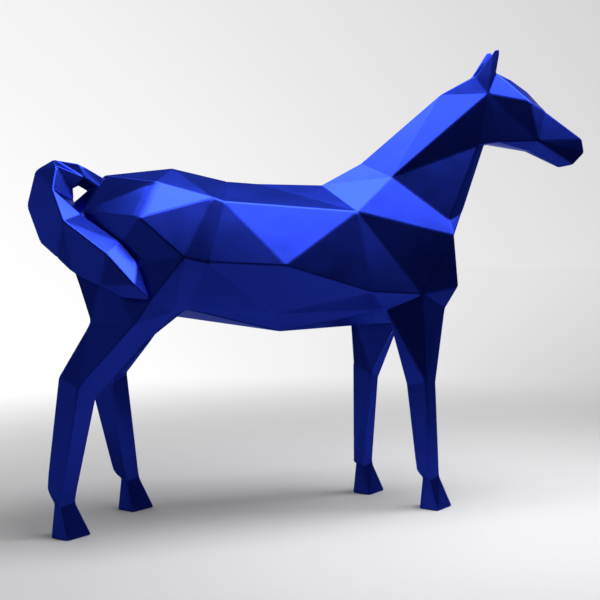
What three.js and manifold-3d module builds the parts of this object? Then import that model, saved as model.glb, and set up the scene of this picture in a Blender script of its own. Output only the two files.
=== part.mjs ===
// A standing horse in flat facets, cast in one piece: body, neck, head, four legs, two ears and a
// raised tail that swings round the right thigh. Millimetres, +X to the head, +Y to the horse's left, +Z up.
import * as THREE from 'three';
import { mergeVertices } from 'three/addons/utils/BufferGeometryUtils.js';
import Module from 'manifold-3d';

// The driving size is the height at the withers. All other measures are in thousandths of it.
const WITHERS = 1400;

// Corners on the middle line of the body: [forward, up].
const MIDDLE = {
  dock: [-705, 1015],
  croup: [-510, 1040],
  loin: [-345, 1005],
  back: [-250, 1000],
  withers: [-45, 1000],
  crest: [85, 1070],
  nape: [355, 1295],
  forehead: [610, 1355],
  brow: [670, 1320],
  nose_top: [715, 1280],
  throat: [516, 1148],
  under_tail: [-800, 930],
};

// Corners in pairs, one on each side of the body: [forward, out from the middle, up].
const PAIRS = {
  hip_top: [-569, 71, 995],
  loin_side: [-412, 116, 950],
  flank_top: [-379, 106, 940],
  hip: [-631, 159, 890],
  haunch: [-510, 180, 780],
  flank: [-439, 161, 765],
  barrel: [-217, 192, 755],
  under: [-218, 95, 611],
  keel: [-196, 59, 555],
  groin: [-492, 131, 631],
  stifle: [-529, 144, 624],
  thigh: [-603, 166, 660],
  gaskin: [-650, 162, 590],
  thigh_front: [-615, 125, 535],
  seat: [-717, 106, 760],
  buttock: [-761, 107, 600],
  rump: [-835, 67, 860],
  tail_side: [-770, 40, 910],
  crotch: [-600, 35, 620],
  shoulder_top: [28, 121, 915],
  armpit: [56, 169, 675],
  elbow: [122, 119, 619],
  shoulder: [238, 130, 664],
  forearm: [338, 84, 615],
  brisket: [230, 40, 575],
  chest: [382, 88, 685],
  breast: [362, 96, 845],
  neck_front: [352, 79, 895],
  neck_edge: [417, 40, 922],
  neck_base: [165, 60, 1025],
  throat_side: [475, 30, 1135],
  poll: [471, 15, 1357],
  ear_root: [507, 35, 1302],
  forelock: [547, 15, 1373],
  ear_back: [534, 28, 1444],
  ear_front: [555, 26, 1448],
  eye: [653, 50, 1281],
  bridge: [719, 34, 1254],
  cheek: [684, 50, 1155],
  nostril: [865, 26, 1170],
  nose: [875, 25, 1125],
  lip: [836, 20, 1085],
  chin: [794, 7, 1076],
  jaw: [672, 15, 1126],
  jaw_angle: [548, 45, 1146],
};

// The left legs stand between the right ones, so these corners of theirs lie elsewhere.
const LEFT_LEG_TOPS = {
  stifle: [-500, 150, 630],
  gaskin: [-590, 160, 590],
  thigh_front: [-535, 115, 550],
  buttock: [-725, 95, 605],
  elbow: [95, 130, 620],
  shoulder: [185, 150, 665],
  forearm: [275, 85, 605],
};

// Each fan is a corner and the ring of corners round it, anticlockwise as seen on the right side.
const FANS = [
  ['croup', 'loin_side loin'],
  ['hip_top', 'croup dock tail_side hip loin_side croup'],
  ['flank_top', 'back loin loin_side flank barrel shoulder_top back'],
  ['haunch', 'hip seat thigh stifle groin flank loin_side hip'],
  ['under', 'barrel flank groin keel elbow armpit barrel'],
  ['armpit', 'elbow shoulder shoulder_top barrel'],
  ['withers', 'back shoulder_top neck_base crest'],
  ['neck_base', 'shoulder_top neck_front throat_side ear_root nape crest'],
  ['breast', 'neck_front shoulder_top shoulder chest'],
  ['shoulder', 'forearm chest'],
  ['gaskin', 'thigh_front stifle thigh seat buttock'],
  ['tail_side', 'dock under_tail rump seat hip'],
  ['seat', 'rump buttock'],
  ['groin', 'stifle thigh_front crotch keel'],
  ['crotch', 'buttock rump'],
  ['brisket', 'elbow keel'],
  ['brisket', 'chest forearm'],
  ['eye', 'forelock ear_root cheek bridge nose_top brow forehead forelock'],
  ['cheek', 'ear_root jaw_angle jaw chin lip nose nostril bridge'],
  ['ear_root', 'poll nape'],
  ['ear_back', 'poll ear_root ear_front'],
  ['ear_front', 'ear_root forelock poll ear_back'],
  ['jaw_angle', 'ear_root throat_side throat jaw'],
  ['neck_edge', 'throat throat_side neck_front breast'],
];

// Strips run between the right and left corners of each name: down the neck and chest, along the belly and up
// between the thighs to the rump; from the bridge of the nose round the muzzle to the jaw; between the ears.
const STRIPS = ['neck_edge breast chest brisket keel crotch rump', 'bridge nostril nose lip chin jaw', 'poll forelock'];

// A strip begins or ends in one triangle, at a corner on the middle line.
const STRIP_ENDS = [
  ['throat', 'neck_edge', 1],
  ['under_tail', 'rump', -1],
  ['nose_top', 'bridge', 1],
  ['throat', 'jaw', -1],
  ['nape', 'poll', 1],
  ['forehead', 'forelock', -1],
];

// Legs: the knee or hock as [forward, up] of its rear, side and front corners, half its width, how far
// it and the hoof stand out from the middle line, the fetlock's knob as [forward, up], and the heel's place.
const LEGS = [
  { side: 'right', top: 'elbow shoulder forearm brisket', joint: [[190, 385], [242, 396], [290, 390]],
    joint_half: 29, joint_out: 121, hoof_out: 135, fetlock: [218, 123], heel: 230 },
  { side: 'left', top: 'elbow shoulder forearm brisket', joint: [[100, 430], [155, 400], [190, 380]],
    joint_half: 25, joint_out: 105, hoof_out: 109, fetlock: [104, 106], heel: 103 },
  { side: 'right', top: 'buttock gaskin thigh_front crotch', joint: [[-850, 450], [-797, 423], [-747, 384]],
    joint_half: 26, joint_out: 113, hoof_out: 107, fetlock: [-886, 140], heel: -875 },
  { side: 'left', top: 'buttock gaskin thigh_front crotch', joint: [[-752, 440], [-683, 400], [-629, 426]],
    joint_half: 34, joint_out: 128, hoof_out: 133, fetlock: [-676, 122], heel: -662 },
];
const PASTERN = { rear: 10, side: 25, front: 68, half: 24, height: 98, side_height: 92 };
const HOOF = { side: 42, toe: 113, half: 46 };

// The tail's sections from the root, inside the rump, to the tip on the thigh. Each has its outer,
// near, inner and far corner; where a corner stays the same, the facets between run to a point.
const TAIL = [
  [[-690, -6, 996], [-688, -14, 956], [-705, 0, 940], [-690, 30, 955]],
  [[-780, -10, 1047], [-764, -18, 1006], [-780, 0, 983], [-765, 32, 1005]],
  [[-848, -9, 1057], [-843, -42, 1035], [-795, -8, 975], [-835, 32, 1025]],
  [[-900, -15, 1024], [-857, -71, 970], [-794, -20, 939], [-868, 32, 975]],
  [[-925, -26, 922], [-832, -126, 880], [-780, -76, 900], [-850, 15, 900]],
  [[-893, -86, 820], [-832, -126, 880], [-780, -76, 900], [-800, -30, 850]],
  [[-850, -128, 778], [-832, -126, 880], [-780, -76, 900], [-790, -40, 820]],
  [[-811, -150, 738], [-724, -205, 789], [-677, -150, 820], [-724, -84, 766]],
  [[-743, -193, 701], [-653, -218, 706], [-635, -164, 766], [-676, -104, 726]],
  [[-683, -190, 668], [-605, -197, 661], [-605, -197, 661], [-655, -130, 690]],
];

// Collects the corners and facets of one closed solid.
class Facets {
  corners = [];
  triangles = [];

  corner([x, y, z]) {
    this.corners.push(x, y, z);
    return this.corners.length / 3 - 1;
  }

  triangle(a, b, c) {
    this.triangles.push(a, b, c);
  }

  // Facets from a corner to each neighbouring two of a ring.
  fan(middle, ring) {
    for (let i = 0; i + 1 < ring.length; i++) this.triangle(middle, ring[i], ring[i + 1]);
  }

  // The wall from an upper ring of four corners down to a lower one, on the given sides. The edge across
  // each quad leaves the upper ring at its rear and front corners, or with odd set at its side corners.
  wall(upper, lower, odd = false, sides = [0, 1, 2, 3]) {
    for (const i of sides) {
      const next = (i + 1) % upper.length;
      if ((i % 2 === 0) !== odd) {
        this.triangle(lower[i], lower[next], upper[i]);
        this.triangle(lower[next], upper[next], upper[i]);
      } else {
        this.triangle(lower[i], lower[next], upper[next]);
        this.triangle(lower[i], upper[next], upper[i]);
      }
    }
  }

  geometry() {
    const geometry = new THREE.BufferGeometry();
    geometry.setAttribute('position', new THREE.Float32BufferAttribute(this.corners, 3));
    geometry.setIndex(this.triangles);
    return geometry;
  }
}

// One side of the body turns its facets the other way round, so that they still face out.
class Side extends Facets {
  constructor(solid, sign) {
    super();
    this.corners = solid.corners;
    this.triangles = solid.triangles;
    this.sign = sign;
  }

  corner([x, out, z]) {
    return super.corner([x, this.sign * out, z]);
  }

  triangle(a, b, c) {
    if (this.sign < 0) super.triangle(a, b, c);
    else super.triangle(a, c, b);
  }
}

function addLeg(side, top, leg) {
  const ring = (points, half, out) => {
    const [rear, middle, front] = points;
    return [
      side.corner([rear[0], out, rear[1]]),
      side.corner([middle[0], out + half, middle[1]]),
      side.corner([front[0], out, front[1]]),
      side.corner([middle[0], out - half, middle[1]]),
    ];
  };
  const joint = ring(leg.joint, leg.joint_half, leg.joint_out);
  const along = (share) => leg.heel + share;
  const pastern = ring([
    [along(PASTERN.rear), PASTERN.height],
    [along(PASTERN.side), PASTERN.side_height],
    [along(PASTERN.front), PASTERN.height],
  ], PASTERN.half, leg.hoof_out);
  const sole = ring([[leg.heel, 0], [along(HOOF.side), 0], [along(HOOF.toe), 0]], HOOF.half, leg.hoof_out);
  const fetlock = side.corner([leg.fetlock[0], leg.hoof_out, leg.fetlock[1]]);

  side.wall(top, joint);
  side.fan(fetlock, [pastern[3], pastern[0], pastern[1], joint[1], joint[0], joint[3], pastern[3]]);
  side.wall(joint, pastern, true, [1, 2]);
  side.wall(pastern, sole);
  side.fan(sole[0], [sole[3], sole[2], sole[1]]);
}

function makeBody() {
  const body = new Facets();
  const middle = {};
  for (const [name, [x, z]] of Object.entries(MIDDLE)) middle[name] = body.corner([x, 0, z]);

  const sides = { right: new Side(body, -1), left: new Side(body, 1) };
  const named = {};
  for (const [label, side] of Object.entries(sides)) {
    const own = label === 'left' ? { ...PAIRS, ...LEFT_LEG_TOPS } : PAIRS;
    named[label] = { ...middle };
    for (const [name, point] of Object.entries(own)) named[label][name] = side.corner(point);
    const find = (names) => names.split(' ').map((name) => named[label][name]);
    for (const [corner, ring] of FANS) side.fan(named[label][corner], find(ring));
    for (const leg of LEGS) {
      if (leg.side === label) addLeg(side, find(leg.top), leg);
    }
  }

  const { right, left } = named;
  for (const strip of STRIPS) {
    const names = strip.split(' ');
    for (let i = 0; i + 1 < names.length; i++) {
      const [from, to] = [names[i], names[i + 1]];
      body.fan(right[from], [right[to], left[to], left[from]]);
    }
  }
  for (const [end, pair, turn] of STRIP_ENDS) {
    const [first, last] = turn > 0 ? [right[pair], left[pair]] : [left[pair], right[pair]];
    body.triangle(middle[end], first, last);
  }
  return body.geometry();
}

function makeTail() {
  const tail = new Facets();
  const rings = TAIL.map((ring) => ring.map((point) => tail.corner(point)));
  for (let i = 0; i + 1 < rings.length; i++) tail.wall(rings[i], rings[i + 1], true);
  tail.fan(rings[0][0], [rings[0][1], rings[0][2], rings[0][3]]);
  const end = rings[rings.length - 1];
  tail.fan(end[0], [end[3], end[2], end[1]]);
  return tail.geometry();
}

const wasm = await Module();
wasm.setup();

// The closed solid of a geometry. Corners that lie on each other are merged first.
function solidOf(geometry) {
  const merged = mergeVertices(geometry);
  const index = Array.from(merged.index.array);
  const kept = [];
  for (let i = 0; i < index.length; i += 3) {
    const [a, b, c] = index.slice(i, i + 3);
    if (a !== b && b !== c && c !== a) kept.push(a, b, c);
  }
  const vertProperties = new Float32Array(merged.attributes.position.array);
  return new wasm.Manifold(new wasm.Mesh({ numProp: 3, vertProperties, triVerts: new Uint32Array(kept) }));
}

function geometryOf(solid) {
  const mesh = solid.getMesh();
  const geometry = new THREE.BufferGeometry();
  geometry.setAttribute('position', new THREE.BufferAttribute(new Float32Array(mesh.vertProperties), 3));
  geometry.setIndex(new THREE.BufferAttribute(new Uint32Array(mesh.triVerts), 1));
  return geometry;
}

// Body and tail become one solid, at its real size, over the middle of its own outline.
const figure = geometryOf(solidOf(makeBody()).add(solidOf(makeTail())));
figure.scale(WITHERS / 1000, WITHERS / 1000, WITHERS / 1000);
figure.computeBoundingBox();
const middle = figure.boundingBox.getCenter(new THREE.Vector3());
figure.translate(-middle.x, -middle.y, 0);

const paint = new THREE.MeshStandardMaterial({ name: 'blue paint', color: 0x1a35c8, roughness: 0.3, metalness: 0.5 });
const horse = new THREE.Mesh(figure, paint);
horse.name = 'horse';

const group = new THREE.Group();
group.add(horse);
export default group;
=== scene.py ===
import math

import bmesh
import bpy
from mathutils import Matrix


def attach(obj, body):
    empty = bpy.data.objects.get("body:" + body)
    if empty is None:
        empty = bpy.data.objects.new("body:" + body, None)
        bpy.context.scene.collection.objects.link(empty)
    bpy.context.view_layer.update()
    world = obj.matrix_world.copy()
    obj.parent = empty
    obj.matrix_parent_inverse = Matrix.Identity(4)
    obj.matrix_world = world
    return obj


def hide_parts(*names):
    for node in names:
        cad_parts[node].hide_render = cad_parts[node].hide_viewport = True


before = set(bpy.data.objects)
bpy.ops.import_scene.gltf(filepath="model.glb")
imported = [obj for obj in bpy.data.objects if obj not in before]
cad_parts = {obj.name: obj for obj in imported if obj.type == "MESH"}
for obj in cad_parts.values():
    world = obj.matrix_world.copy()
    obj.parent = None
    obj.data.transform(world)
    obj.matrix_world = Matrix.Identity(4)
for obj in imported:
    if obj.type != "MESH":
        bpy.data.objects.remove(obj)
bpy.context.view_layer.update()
bpy.ops.object.select_all(action="DESELECT")


# The camera stands at a person's chest height off the horse's right side, a little towards the tail,
# and looks slightly down.
camera_place = (-1.372, -3.934, 1.12)
camera_turn = 17.5
camera_dip = 2.981
lens_length = 57.6
sensor_width = 36

bpy.ops.object.camera_add(
    location=camera_place,
    rotation=(math.radians(90 - camera_dip), 0, math.radians(-camera_turn)),
)
camera = bpy.context.object
camera.data.lens = lens_length
camera.data.sensor_width = sensor_width
bpy.context.scene.camera = camera


# The casting: one hollow resin shell laid up in a mould and rubbed down by hand, so its flat facets
# meet in rounded edges. They are tighter where facets are small, crisp on the ridge of the back and
# neck, and broad down each haunch.
edge_round = 0.007
broad_round = 0.036
edge_steps = 4
room_share = 0.55

# Both haunch edges run between the same two places, given as x and z.
haunch_edge = ((-0.762, 1.393), (-0.848, 1.246))
haunch_slack = 0.006

# The ridge lies on the middle line of the body, above a height that only the back and neck reach.
middle_line = 0.0182
middle_slack = 0.002
ridge_above = 1.2
ridge_share = 0.3

# The solid's loose triangles are joined where their corners meet. At the tail's root, corners up to
# a centimetre apart are joined too, so that the rounding has room.
same_corner = 0.0002
tail_root_along = (-1.10, -0.80)
tail_root_up = (0.85, 1.45)
tail_root_weld = 0.011

# Triangles that lie in one plane are made one facet, and its inner lines aren't rounded.
one_plane = math.radians(0.4)
flat_below = math.radians(0.5)

horse_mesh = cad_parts["horse"].data.copy()
horse_mesh.materials.clear()
casting = bpy.data.objects.new("casting", horse_mesh)
bpy.context.collection.objects.link(casting)
casting.select_set(True)
bpy.context.view_layer.objects.active = casting


def near_tail_root(point):
    """Whether a point lies in the length and height of the tail's root."""
    along = tail_root_along[0] < point.x < tail_root_along[1]
    up = tail_root_up[0] < point.z < tail_root_up[1]
    return along and up


def on_ridge(point):
    """Whether a point lies on the ridge of the back or neck."""
    return abs(point.y - middle_line) < middle_slack and point.z > ridge_above


def down_haunch(edge):
    """Whether an edge runs between the two places of a haunch's edge."""
    ends = sorted((corner.co.z, corner.co.x) for corner in edge.verts)
    places = sorted((z, x) for x, z in haunch_edge)
    return all(math.dist(end, place) < haunch_slack for end, place in zip(ends, places))


def facet_room(facet):
    """How far an edge's rounding may reach into a facet: a share of the circle that fits in it."""
    around = sum(edge.calc_length() for edge in facet.edges)
    return room_share * 2 * facet.calc_area() / around


bpy.ops.object.mode_set(mode="EDIT")
bpy.ops.mesh.select_all(action="SELECT")
bpy.ops.mesh.remove_doubles(threshold=same_corner)
bpy.ops.mesh.select_all(action="DESELECT")
bpy.ops.mesh.select_mode(type="VERT")
form = bmesh.from_edit_mesh(horse_mesh)
for corner in form.verts:
    corner.select = near_tail_root(corner.co)
form.select_flush_mode()
bmesh.update_edit_mesh(horse_mesh)
bpy.ops.mesh.remove_doubles(threshold=tail_root_weld)
bpy.ops.mesh.select_all(action="SELECT")
bpy.ops.mesh.dissolve_limited(angle_limit=one_plane)

form = bmesh.from_edit_mesh(horse_mesh)
rounding = form.edges.layers.float.get("bevel_weight_edge")
if rounding is None:
    rounding = form.edges.layers.float.new("bevel_weight_edge")
for edge in form.edges:
    if edge.calc_face_angle(0) > flat_below:
        room = min(facet_room(facet) for corner in edge.verts for facet in corner.link_faces)
        wanted = edge_round
        if any(on_ridge(corner.co) for corner in edge.verts):
            wanted = edge_round * ridge_share
        reach = broad_round if down_haunch(edge) else min(wanted, room)
        edge[rounding] = reach / broad_round
bmesh.update_edit_mesh(horse_mesh)
bpy.ops.object.mode_set(mode="OBJECT")

round_over = casting.modifiers.new("rounded edges", "BEVEL")
round_over.limit_method = "WEIGHT"
round_over.width = broad_round
round_over.segments = edge_steps
round_over.use_clamp_overlap = False
bpy.ops.object.modifier_apply(modifier=round_over.name)
bpy.ops.object.shade_smooth()
flats = casting.modifiers.new("flat facets", "WEIGHTED_NORMAL")
bpy.ops.object.modifier_apply(modifier=flats.name)

# The finish is a blue metallic lacquer sprayed over the whole casting: fine flake under a satin gloss,
# faint orange peel, and flats that wave a little where they were rubbed down.
lacquer_blue = (0.0082, 0.0190, 0.240, 1)
lacquer_deep = (0.0070, 0.0162, 0.205, 1)
lacquer_sheen = (0.5, 0.55, 1, 1)
cloud_scale = 5
flake_scale = 700
flake_spread = (0.9, 1.1)
gloss_spread = (0.24, 0.34)
wave_scale = 7
wave_depth = 0.004
wave_strength = 0.6
peel_scale = 320
peel_depth = 0.0004
peel_strength = 0.15

lacquer = bpy.data.materials.new("blue lacquer")
lacquer.use_nodes = True
nodes = lacquer.node_tree.nodes
links = lacquer.node_tree.links
shader = nodes["Principled BSDF"]
shader.inputs["Metallic"].default_value = 1
shader.inputs["Specular Tint"].default_value = lacquer_sheen
place = nodes.new("ShaderNodeTexCoord")


def noise(scale, detail):
    """A cloudy pattern fixed to the casting."""
    pattern = nodes.new("ShaderNodeTexNoise")
    pattern.inputs["Scale"].default_value = scale
    pattern.inputs["Detail"].default_value = detail
    links.new(place.outputs["Object"], pattern.inputs["Vector"])
    return pattern.outputs["Fac"]


def spread_between(pattern, least, most):
    """A pattern that runs from 0 to 1, spread between two values."""
    spread = nodes.new("ShaderNodeMapRange")
    spread.inputs["To Min"].default_value = least
    spread.inputs["To Max"].default_value = most
    links.new(pattern, spread.inputs["Value"])
    return spread.outputs["Result"]


def bump(height, depth, strength):
    """A relief in the lacquer, made by a pattern."""
    relief = nodes.new("ShaderNodeBump")
    relief.inputs["Strength"].default_value = strength
    relief.inputs["Distance"].default_value = depth
    links.new(height, relief.inputs["Height"])
    return relief


clouds = noise(cloud_scale, 4)
tone = nodes.new("ShaderNodeMix")
tone.data_type = "RGBA"
tone.inputs["A"].default_value = lacquer_deep
tone.inputs["B"].default_value = lacquer_blue
links.new(clouds, tone.inputs["Factor"])

flake = nodes.new("ShaderNodeTexVoronoi")
flake.inputs["Scale"].default_value = flake_scale
links.new(place.outputs["Object"], flake.inputs["Vector"])
flaked = nodes.new("ShaderNodeVectorMath")
flaked.operation = "SCALE"
links.new(tone.outputs["Result"], flaked.inputs[0])
links.new(spread_between(flake.outputs["Color"], *flake_spread), flaked.inputs["Scale"])
links.new(flaked.outputs["Vector"], shader.inputs["Base Color"])
links.new(spread_between(clouds, *gloss_spread), shader.inputs["Roughness"])

wave_bump = bump(noise(wave_scale, 1), wave_depth, wave_strength)
peel_bump = bump(noise(peel_scale, 2), peel_depth, peel_strength)
links.new(wave_bump.outputs["Normal"], peel_bump.inputs["Normal"])
links.new(peel_bump.outputs["Normal"], shader.inputs["Normal"])

casting.data.materials.append(lacquer)
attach(casting, "root")
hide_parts("horse")


# The studio: a matt pale floor that further out turns into a glow of painted light, as bright as the
# pale surround, so that no line shows between them. The surround is brightest behind the horse, and
# dims overhead, past the head and towards the camera.
surround_mean = 0.56
surround_lean = (-0.29, 0.43, -0.30)
surround_least = 0.03
floor_radius = 60
floor_sides = 128
board_grey = (0.32, 0.32, 0.325, 1)
board_roughness = 0.9
board_gloss = 0.1
board_reach = (0.8, 4.6)


def surround_light(tree, direction):
    """The surround's brightness in a direction, as the output of a node in a node tree."""
    lean = tree.nodes.new("ShaderNodeVectorMath")
    lean.operation = "DOT_PRODUCT"
    lean.inputs[1].default_value = surround_lean
    tree.links.new(direction, lean.inputs[0])
    level = tree.nodes.new("ShaderNodeMath")
    level.operation = "ADD"
    level.inputs[1].default_value = surround_mean
    tree.links.new(lean.outputs["Value"], level.inputs[0])
    least = tree.nodes.new("ShaderNodeMath")
    least.operation = "MAXIMUM"
    least.inputs[1].default_value = surround_least
    tree.links.new(level.outputs["Value"], least.inputs[0])
    return least.outputs["Value"]


studio = bpy.data.worlds.new("studio")
studio.use_nodes = True
bpy.context.scene.world = studio
surround = studio.node_tree.nodes["Background"]
surround.inputs["Color"].default_value = (1, 1, 1, 1)
toward = studio.node_tree.nodes.new("ShaderNodeTexCoord")
surround_level = surround_light(studio.node_tree, toward.outputs["Generated"])
studio.node_tree.links.new(surround_level, surround.inputs["Strength"])

bpy.ops.mesh.primitive_circle_add(vertices=floor_sides, radius=floor_radius, fill_type="NGON")
floor = bpy.context.object
floor.name = "floor"
board = bpy.data.materials.new("pale floor")
board.use_nodes = True
board_tree = board.node_tree
matt = board_tree.nodes["Principled BSDF"]
matt.inputs["Base Color"].default_value = board_grey
matt.inputs["Roughness"].default_value = board_roughness
matt.inputs["Specular IOR Level"].default_value = board_gloss
# Past the matt middle the floor glows with painted light: an emission as bright as the surround in the
# direction of each spot from the floor's centre.
far_glow = board_tree.nodes.new("ShaderNodeEmission")
spot = board_tree.nodes.new("ShaderNodeTexCoord")
outward = board_tree.nodes.new("ShaderNodeVectorMath")
outward.operation = "NORMALIZE"
board_tree.links.new(spot.outputs["Object"], outward.inputs[0])
board_tree.links.new(surround_light(board_tree, outward.outputs["Vector"]), far_glow.inputs["Strength"])
distance = board_tree.nodes.new("ShaderNodeVectorMath")
distance.operation = "LENGTH"
board_tree.links.new(spot.outputs["Object"], distance.inputs[0])
glow_blend = board_tree.nodes.new("ShaderNodeMapRange")
glow_blend.interpolation_type = "SMOOTHSTEP"
glow_blend.inputs["From Min"].default_value = board_reach[0]
glow_blend.inputs["From Max"].default_value = board_reach[1]
board_tree.links.new(distance.outputs["Value"], glow_blend.inputs["Value"])
meet = board_tree.nodes.new("ShaderNodeMixShader")
board_tree.links.new(glow_blend.outputs["Result"], meet.inputs[0])
board_tree.links.new(matt.outputs["BSDF"], meet.inputs[1])
board_tree.links.new(far_glow.outputs["Emission"], meet.inputs[2])
board_tree.links.new(meet.outputs["Shader"], board_tree.nodes["Material Output"].inputs["Surface"])
floor.data.materials.append(board)


# The studio lights: soft boxes side by side under the ceiling, the brightest above the back and the
# head, a dimmer one nearer the camera and a small one behind the haunches.
ceiling = 3.46


def soft_box(name, along, across, radiance):
    """A flat light under the ceiling between two x and two y, of an even brightness."""
    centre = (sum(along) / 2, sum(across) / 2, ceiling)
    bpy.ops.object.light_add(type="AREA", location=centre)
    box = bpy.context.object
    box.name = name
    box.data.shape = "RECTANGLE"
    box.data.size = along[1] - along[0]
    box.data.size_y = across[1] - across[0]
    box.data.energy = radiance * math.pi * box.data.size * box.data.size_y
    box.visible_camera = False


soft_box("bright soft box", (-1.06, 3.36), (-0.76, 0.40), 15)
soft_box("near soft box", (-0.6, 5.6), (-2.36, -0.76), 7.4)
soft_box("rear soft box", (-1.55, -1.1), (0.25, 0.95), 6.5)

bpy.context.scene.view_settings.view_transform = "Standard"
